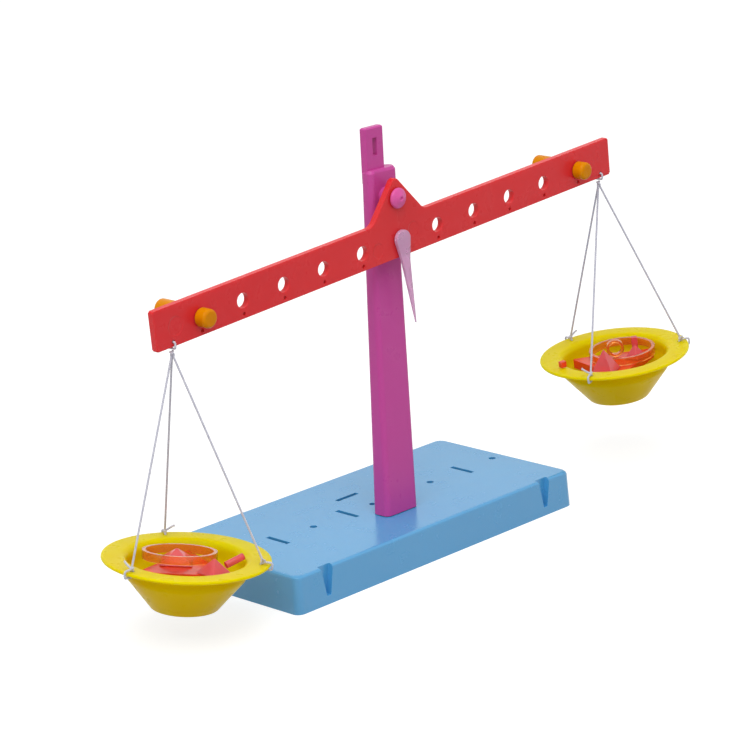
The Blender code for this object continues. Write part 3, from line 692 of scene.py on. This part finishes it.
def makePan(side, look):
    wall, depth = look["wall"], look["depth"]
    floor = -depth + wall
    lip = wall / 2
    rimRound, kneeRound = lip * look["rimRound"], look["kneeRound"]
    slope = (look["knee"] - look["foot"]) / (floor + look["kneeDepth"])   # negative: sideways per depth
    length = math.hypot(1, slope)
    outKnee = look["knee"] + wall * look["kneeWall"][0]
    outKneeDepth = look["kneeDepth"] + wall * look["kneeWall"][1]
    outFoot = look["foot"] + wall * (length + slope)
    line = easedLine([
        (0.0, -depth, 0), (outFoot, -depth, look["footRound"]), (outKnee, -outKneeDepth, kneeRound),
        (look["mouth"] + wall, -wall, look["underRimRound"]),
        (look["rim"], -wall, rimRound), (look["rim"], 0.0, rimRound),
        (look["mouth"], 0.0, look["mouthRound"]), (look["knee"], -look["kneeDepth"], kneeRound),
        (look["foot"], floor, look["floorRound"]), (0.0, floor, 0),
    ])
    pan = finished(f"{side}PanBowl", spun(line, look["around"]), yellow)
    cutters = bmesh.new()
    for index in range(3):
        angle = math.radians(hangs[side]["turn"] + 120 * index)
        place = (look["holeReach"] * math.cos(angle), look["holeReach"] * math.sin(angle), -lip)
        bmesh.ops.create_cone(cutters, cap_ends=True, segments=24, radius1=look["holeRadius"],
                              radius2=look["holeRadius"], depth=wall * 3, matrix=Matrix.Translation(place))
    cutRound(pan, cutters)
    pan.data.transform(panFrame(side))
    pan.data.shade_smooth()
    pan.data.set_sharp_from_angle(angle=math.radians(35))
    stands(pan, f"{side}_pan")


for side in ("left", "right"):
    makePan(side, panLook)
print("pans made")


# Threads

threadLook = {
    "radius": 0.00042,
    "plies": 3,
    "plyRadius": 0.00022,
    "pitch": 0.0023,
    "stepsPerTurn": 9,
    "knotRadius": 0.00070,
    "knotStrand": 0.8,     # thickness of a knot's strand, as a share of the thread's
    "knotTilt": 70.0,
    "apexRadius": 0.00100,
    "apexStrand": 0.9,
    "apexTurn": 35.0,
    "apexTilt": 80.0,
    "tail": 0.0040,
    "tailRise": 30.0,
    "tailSteps": 14,
    "tailSway": 0.0003,
    "frayFrom": 0.7,       # the share of the tail that stays twisted
    "frayWidth": 0.0004,
    "gap": 0.0003,
    "bend": 0.0007,
    "bendSteps": 5,
    "finish": {
        "colour": colour(216, 216, 226), "shade": colour(184, 184, 200),
        "fibreScale": 2600.0, "fibreStretch": (1, 1, 0.35), "fibreBump": 0.4, "fibreDepth": 0.00005,
        "roughness": 0.75, "sheen": 0.35, "sheenRoughness": 0.5,
    },
}

white = twistedThread("greyWhiteThread", threadLook["finish"])


def tubes(routes, radius, closed=False):
    # Round tubes along lists of points, as one bmesh.
    curve = bpy.data.curves.new("route", "CURVE")
    curve.dimensions = "3D"
    curve.bevel_depth = radius
    curve.bevel_resolution = 1
    curve.use_fill_caps = not closed
    for route in routes:
        spline = curve.splines.new("POLY")
        spline.points.add(len(route) - 1)
        for point, place in zip(spline.points, route):
            point.co = (*place, 1.0)
        spline.use_cyclic_u = closed
    holder = bpy.data.objects.new("route", curve)
    bpy.context.collection.objects.link(holder)
    mesh = bpy.data.meshes.new_from_object(holder.evaluated_get(bpy.context.evaluated_depsgraph_get()))
    bpy.data.objects.remove(holder)
    bm = bmesh.new()
    bm.from_mesh(mesh)
    bmesh.ops.recalc_face_normals(bm, faces=bm.faces)
    return bm


def alongTurns(route, look, closed=False):
    # Lays the plies side by side in a helix round a route of points.
    points = [Vector(point) for point in route]
    if closed:
        points.append(points[0])
    lengths = [0.0]
    for a, b in zip(points, points[1:]):
        lengths.append(lengths[-1] + (b - a).length)
    turns = lengths[-1] / look["pitch"]
    if closed:
        turns = max(1, round(turns))
    count = max(2, round(turns * look["stepsPerTurn"]))
    centreLine = []
    reach = 0
    for step in range(count + 1):
        place = lengths[-1] * step / count
        while reach < len(points) - 2 and lengths[reach + 1] < place:
            reach += 1
        share = (place - lengths[reach]) / (lengths[reach + 1] - lengths[reach])
        here, ahead = points[reach], points[reach + 1]
        centreLine.append((here.lerp(ahead, share), ahead - here))
    side = centreLine[0][1].orthogonal().normalized()
    routes = [[] for ply in range(look["plies"])]
    for step, (place, along) in enumerate(centreLine):
        along.normalize()
        side = (side - along * side.dot(along)).normalized()
        other = along.cross(side)
        for ply in range(look["plies"]):
            angle = 2 * math.pi * (turns * step / count + ply / look["plies"])
            off = (side * math.cos(angle) + other * math.sin(angle)) * (look["radius"] - look["plyRadius"])
            routes[ply].append(place + off)
    if closed:
        for plyRoute in routes:
            plyRoute.pop()
    return routes


def knotRoute(radius, centre, turn, steps=44):
    # A trefoil, the shape of a pulled overhand knot.
    route = []
    for step in range(steps):
        t = 2 * math.pi * step / steps
        x = math.sin(t) + 2 * math.sin(2 * t)
        y = math.cos(t) - 2 * math.cos(2 * t)
        point = Vector((x, y, -1.3 * math.sin(3 * t)))
        route.append(centre + turn @ (point * radius / 3))
    return route


def joined(shapes):
    whole = bmesh.new()
    for shape in shapes:
        mesh = bpy.data.meshes.new("shape")
        shape.to_mesh(mesh)
        shape.free()
        whole.from_mesh(mesh)
        bpy.data.meshes.remove(mesh)
    return whole


def makeString(side, index, look, pan):
    angle = math.radians(hangs[side]["turn"] + 120 * index)
    outward = Vector((math.cos(angle), math.sin(angle), 0.0))
    across = Vector((-math.sin(angle), math.cos(angle), 0.0))
    up = Vector((0, 0, 1))
    place = panFrame(side)
    apex = place.inverted() @ middle(f"{side}_apex_knot")
    clear = look["gap"] + look["radius"]
    inner, outer = pan["holeReach"], pan["rim"] + clear
    top, bottom = clear, -pan["wall"] - clear
    knot = outward * (inner + look["bend"]) + up * (look["gap"] + look["knotRadius"])

    # The loop through the rim hole and round the rim's edge.
    corners = [((inner + outer) / 2, bottom, 0), (outer, bottom, look["bend"]), (outer, top, look["bend"]),
               (inner, top, look["bend"]), (inner, bottom, look["bend"]), ((inner + outer) / 2, bottom, 0)]
    loop = [outward * r + up * z for r, z in easedLine(corners, look["bendSteps"])][:-1]
    shapes = [tubes(alongTurns(loop, look, True), look["plyRadius"], True)]

    # The taut run up to the apex, the knot and its tail.
    shapes.append(tubes(alongTurns([knot, apex], look), look["plyRadius"]))
    turn = Matrix.Rotation(angle, 3, "Z") @ Matrix.Rotation(math.radians(look["knotTilt"]), 3, "X")
    strand = look["radius"] * look["knotStrand"]
    shapes.append(tubes([knotRoute(look["knotRadius"], knot, turn)], strand, True))
    rise = math.radians(look["tailRise"])
    out = up * math.sin(rise) - across * math.cos(rise)
    steps, sway = look["tailSteps"], outward * look["tailSway"]
    tail = [knot + out * look["tail"] * s / steps + sway * math.sin(3 * s / steps)
            for s in range(steps + 1)]
    plies = alongTurns(tail, look)
    for number, ply in enumerate(plies):
        turn = Matrix.Rotation(2 * math.pi * number / len(plies), 3, out)
        spreadOut = turn @ out.orthogonal().normalized()
        for step, point in enumerate(ply):
            fray = max(0.0, step / len(ply) - look["frayFrom"]) / (1 - look["frayFrom"])
            ply[step] = point + spreadOut * look["frayWidth"] * fray ** 2
    shapes.append(tubes(plies, look["plyRadius"]))
    piece = finished(f"{side}String{index + 1}", joined(shapes), white, 60.0)
    piece.data.transform(place)
    stands(piece, f"{side}_string_{index + 1}")


def makeHanger(side, look):
    # The thread loop through the beam's string hole, and the knot that hangs from it.
    low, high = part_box(f"{side}_hanger")
    centre = middle(f"{side}_hanger")
    r, bend = look["radius"], look["bend"]
    y0, y1, z0, z1 = low[1] + r, high[1] - r, low[2] + r, high[2] - r
    corners = [(centre.y, z0, 0), (y1, z0, bend), (y1, z1, bend), (y0, z1, bend), (y0, z0, bend),
               (centre.y, z0, 0)]
    loop = [Vector((centre.x, y, z)) for y, z in easedLine(corners, look["bendSteps"])][:-1]
    shape = tubes(alongTurns(loop, look, True), look["plyRadius"], True)
    hanger = finished(f"{side}ThreadLoop", shape, white, 60.0)
    stands(hanger, f"{side}_hanger")
    turn = (Matrix.Rotation(math.radians(look["apexTurn"]), 3, "Z")
            @ Matrix.Rotation(math.radians(look["apexTilt"]), 3, "X"))
    route = knotRoute(look["apexRadius"], middle(f"{side}_apex_knot"), turn)
    strand = look["radius"] * look["apexStrand"]
    knot = finished(f"{side}ApexKnot", tubes([route], strand, True), white, 60.0)
    stands(knot, f"{side}_apex_knot")


for side in ("left", "right"):
    for index in range(3):
        makeString(side, index, threadLook, panLook)
    makeHanger(side, threadLook)
print("threads made")


# Loose weights

weightLook = {
    "edge": 0.00022,
    "edgeSteps": 2,
    "pink": {
        "colour": colour(250, 112, 118), "swirl": colour(248, 94, 100),
        "flowScale": 120.0, "roughness": 0.16, "hazeShare": 0.3, "peel": 0.05, "rubs": 0.03,
        "scatter": 0.2, "scatterRadius": (1.0, 0.3, 0.3), "scatterScale": 0.002, "clear": 0.45,
    },
    "scarlet": {
        "colour": colour(255, 86, 48), "swirl": colour(250, 72, 40),
        "flowScale": 120.0, "roughness": 0.18, "hazeShare": 0.3, "peel": 0.05, "rubs": 0.03,
        "scatter": 0.2, "scatterRadius": (1.0, 0.2, 0.15), "scatterScale": 0.002, "clear": 0.35,
    },
    "amber": {
        "colour": colour(255, 176, 96), "swirl": colour(255, 160, 84),
        "flowScale": 120.0, "roughness": 0.12, "hazeShare": 0.3, "peel": 0.04, "rubs": 0.03, "clear": 0.88,
    },
}

pink = mouldedPlastic("seeThroughPink", weightLook["pink"])
scarlet = mouldedPlastic("seeThroughScarlet", weightLook["scarlet"])
amber = mouldedPlastic("seeThroughAmber", weightLook["amber"])
weights = {
    "left": {"tile": scarlet, "peak": pink, "prow": pink, "ring": amber, "rod": pink},
    "right": {"tile": scarlet, "ring": amber, "spire": pink, "wedge": pink, "loop": amber, "stub": pink,
              "chip": scarlet},
}
for side, pieces in weights.items():
    for word, material in pieces.items():
        node = f"{side}_weight_{word}"
        shape = easedFromCad(node, weightLook["edge"], weightLook["edgeSteps"])
        piece = keepFlat(finished(f"{side}Weight{word.capitalize()}", shape, material, 30.0), 40.0)
        stands(piece, node)
print("weights made")
